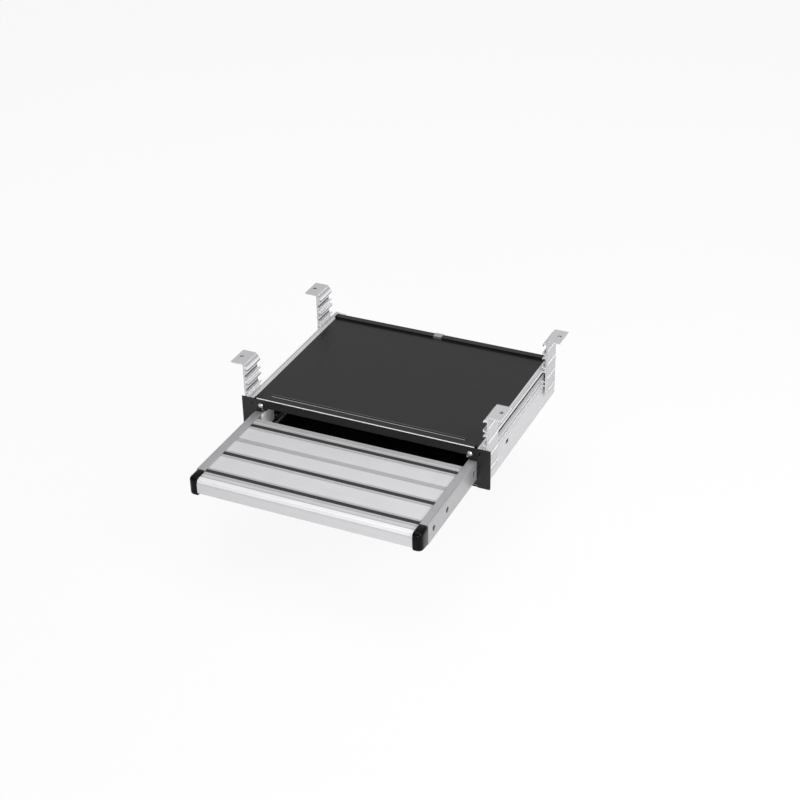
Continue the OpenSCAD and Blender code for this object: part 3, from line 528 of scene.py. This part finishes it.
def box_mesh(low, high):
    bm = bmesh.new()
    bmesh.ops.create_cube(bm, size=1.0)
    size = Vector(high) - Vector(low)
    bmesh.ops.scale(bm, vec=size, verts=bm.verts)
    bmesh.ops.translate(bm, vec=Vector(low) + size / 2, verts=bm.verts)
    return bm


def round_edges(bm, radius, segments, wanted):
    """Rounds each edge whose middle and direction the test wants. The radius is in millimetres."""
    edges = []
    for edge in bm.edges:
        run = (edge.verts[1].co - edge.verts[0].co).normalized()
        if wanted((edge.verts[0].co + edge.verts[1].co) / 2, run):
            edges.append(edge)
    bmesh.ops.bevel(bm, geom=edges, offset=radius * MM, affect="EDGES", segments=segments, profile=0.5,
                    material=-1, clamp_overlap=True)


def solid_piece(name, bm, finish, body):
    """A smooth-shaded object from a bmesh, riding on a body."""
    mesh = bpy.data.meshes.new(name)
    bm.to_mesh(mesh)
    bm.free()
    for face in mesh.polygons:
        face.use_smooth = True
    mesh.materials.append(finish)
    piece = bpy.data.objects.new(name, mesh)
    scene.collection.objects.link(piece)
    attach(piece, body)
    return piece


def smooth_cap(side):
    """Gloss corner cap with one continuous surface over its front, top and outer side."""
    low, high = node_box(side + "_cap")
    bottom, top = low.z, high.z
    front, back = low.y, low.y + CAP_LENGTH
    inner, outer = min(abs(low.x), abs(high.x)), max(abs(low.x), abs(high.x))
    bm = box_mesh((inner, front, bottom), (outer, back, top))
    # the upright corner, the upper and lower edges, those along the nose and those round the rear
    round_edges(bm, 12.0, 12,
                lambda mid, run: abs(run.z) > 0.9 and mid.x > outer - NEAR and mid.y < front + NEAR)
    round_edges(bm, 9.0, 10,
                lambda mid, run: mid.z > top - NEAR and mid.x > inner + NEAR and mid.y < back - NEAR)
    round_edges(bm, 7.0, 8,
                lambda mid, run: mid.z < bottom + NEAR and mid.x > inner + NEAR and mid.y < back - NEAR)
    round_edges(bm, 2.5, 4, lambda mid, run: mid.x < inner + NEAR and mid.y < back - NEAR)
    round_edges(bm, 0.8, 2, lambda mid, run: mid.y > back - NEAR)
    middle = (top + bottom) / 2
    for vert in bm.verts:
        ahead = min(1.0, (back - vert.co.y) / (back - front))
        if vert.co.z < middle:
            vert.co.z += CAP_RISE * ahead * (middle - vert.co.z) / (middle - bottom)
    if side == "left":
        bmesh.ops.scale(bm, vec=(-1.0, 1.0, 1.0), verts=bm.verts)
        bmesh.ops.reverse_faces(bm, faces=bm.faces)
    piece = solid_piece(side + "_smooth_cap", bm, gloss_cap, "drawer")
    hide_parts(side + "_cap")


def lit_face_plate(side, sign):
    """Pale plate on the inner face of an arm, behind the tread, standing in for the light that falls on that
    face.
    """
    low, high = zip(PLATE_X, PLATE_Y, PLATE_Z)
    bm = box_mesh(low, high)
    round_edges(bm, 0.3, 2, lambda mid, run: True)
    bmesh.ops.scale(bm, vec=(sign, 1.0, 1.0), verts=bm.verts)
    bmesh.ops.recalc_face_normals(bm, faces=bm.faces)
    solid_piece(side + "_lit_face_plate", bm, pale_plate, "drawer")


for side, sign in (("left", -1), ("right", 1)):
    smooth_cap(side)
    lit_face_plate(side, sign)


# Floor, light and camera

GLOSSY_SHARE = 0.25                           # share of the pale background that reflections show
FLOOR_GLOW = 0.9                              # the rest of the floor takes the step's shadow
AMBIENT = 0.34
BACKGROUND = 0.975


def floor_plane():
    mesh = bpy.data.meshes.new("floor")
    bm = bmesh.new()
    bmesh.ops.create_grid(bm, x_segments=1, y_segments=1, size=14.0,
                          matrix=Matrix.Translation((0.0, 4.0, FLOOR_Z)))
    bm.to_mesh(mesh)
    bm.free()
    floor = bpy.data.objects.new("floor", mesh)
    scene.collection.objects.link(floor)
    finish = Finish("pale_floor", Roughness=0.9, Metallic=0.0)
    finish.set(Base_Color=finish.mix(finish.noise(3.0, 2.0, 0.5), grey(0.93), grey(0.95)))
    camera, glossy = finish.rays("Camera", "Glossy")
    glow = finish.node("Emission", {}, {"Color": grey(1.0), "Strength": 1.0})
    both = finish.node("MixShader", {}, {0: ((camera + glossy * GLOSSY_SHARE) * FLOOR_GLOW).clamp(),
                                         1: finish.shader.outputs[0], 2: glow.outputs[0]})
    finish.tree.links.new(both.outputs[0], finish.output.inputs["Surface"])
    mesh.materials.append(finish.material)


def white_world():
    """Even, dim light all round, behind which the camera sees a pale background."""
    world = bpy.data.worlds.new("studio")
    scene.world = world
    world.use_nodes = True
    graph = Graph(world.node_tree)
    camera, transmission, glossy = graph.rays("Camera", "Transmission", "Glossy")
    ambient = graph.node("Background", {}, {"Color": grey(1.0), "Strength": AMBIENT})
    pale = graph.node("Background", {}, {"Color": grey(1.0), "Strength": BACKGROUND})
    both = graph.node("MixShader", {}, {0: glossy * GLOSSY_SHARE + (camera + transmission),
                                        1: ambient.outputs[0], 2: pale.outputs[0]})
    graph.node("OutputWorld", {}, {"Surface": both.outputs[0]})


def softbox(name, size, watts, place, aim):
    lamp = bpy.data.lights.new(name, "AREA")
    lamp.shape = "RECTANGLE"
    lamp.size, lamp.size_y = size
    lamp.energy = watts
    box = bpy.data.objects.new(name, lamp)
    scene.collection.objects.link(box)
    box.location = place
    box.rotation_euler = (Vector(aim) - Vector(place)).to_track_quat("-Z", "Y").to_euler()


CAMERA_PLACE = (1.3982, -2.9956, 1.8397)
CAMERA_AZIMUTH = 25.137                       # degrees, from straight in front towards the step's right
CAMERA_ELEVATION = 30.968
CAMERA_ROLL = -1.19
LENS = 73.8                                   # millimetres, on a sensor 36 mm wide


def photo_camera():
    lens = bpy.data.cameras.new("camera")
    lens.sensor_width = 36.0
    lens.lens = LENS
    lens.clip_end = 60.0
    camera = bpy.data.objects.new("camera", lens)
    scene.collection.objects.link(camera)
    turn = Matrix.Rotation(math.radians(CAMERA_AZIMUTH), 4, "Z")
    tilt = Matrix.Rotation(math.radians(90.0 - CAMERA_ELEVATION), 4, "X")
    roll = Matrix.Rotation(math.radians(CAMERA_ROLL), 4, "Z")
    camera.matrix_world = Matrix.Translation(CAMERA_PLACE) @ turn @ tilt @ roll
    scene.camera = camera


floor_plane()
white_world()
softbox("key_light", (1.8, 1.8), 46.0, place=(2.6, -0.6, 1.5), aim=(0.0, -0.1, -0.1))
softbox("top_light", (2.4, 2.4), 35.0, place=(-0.2, 0.4, 2.8), aim=(0.0, 0.0, 0.0))
softbox("front_light", (1.6, 0.8), 26.0, place=(1.1, -3.0, 0.5), aim=(0.0, -0.3, -0.1))
photo_camera()
scene.view_settings.view_transform = "Standard"
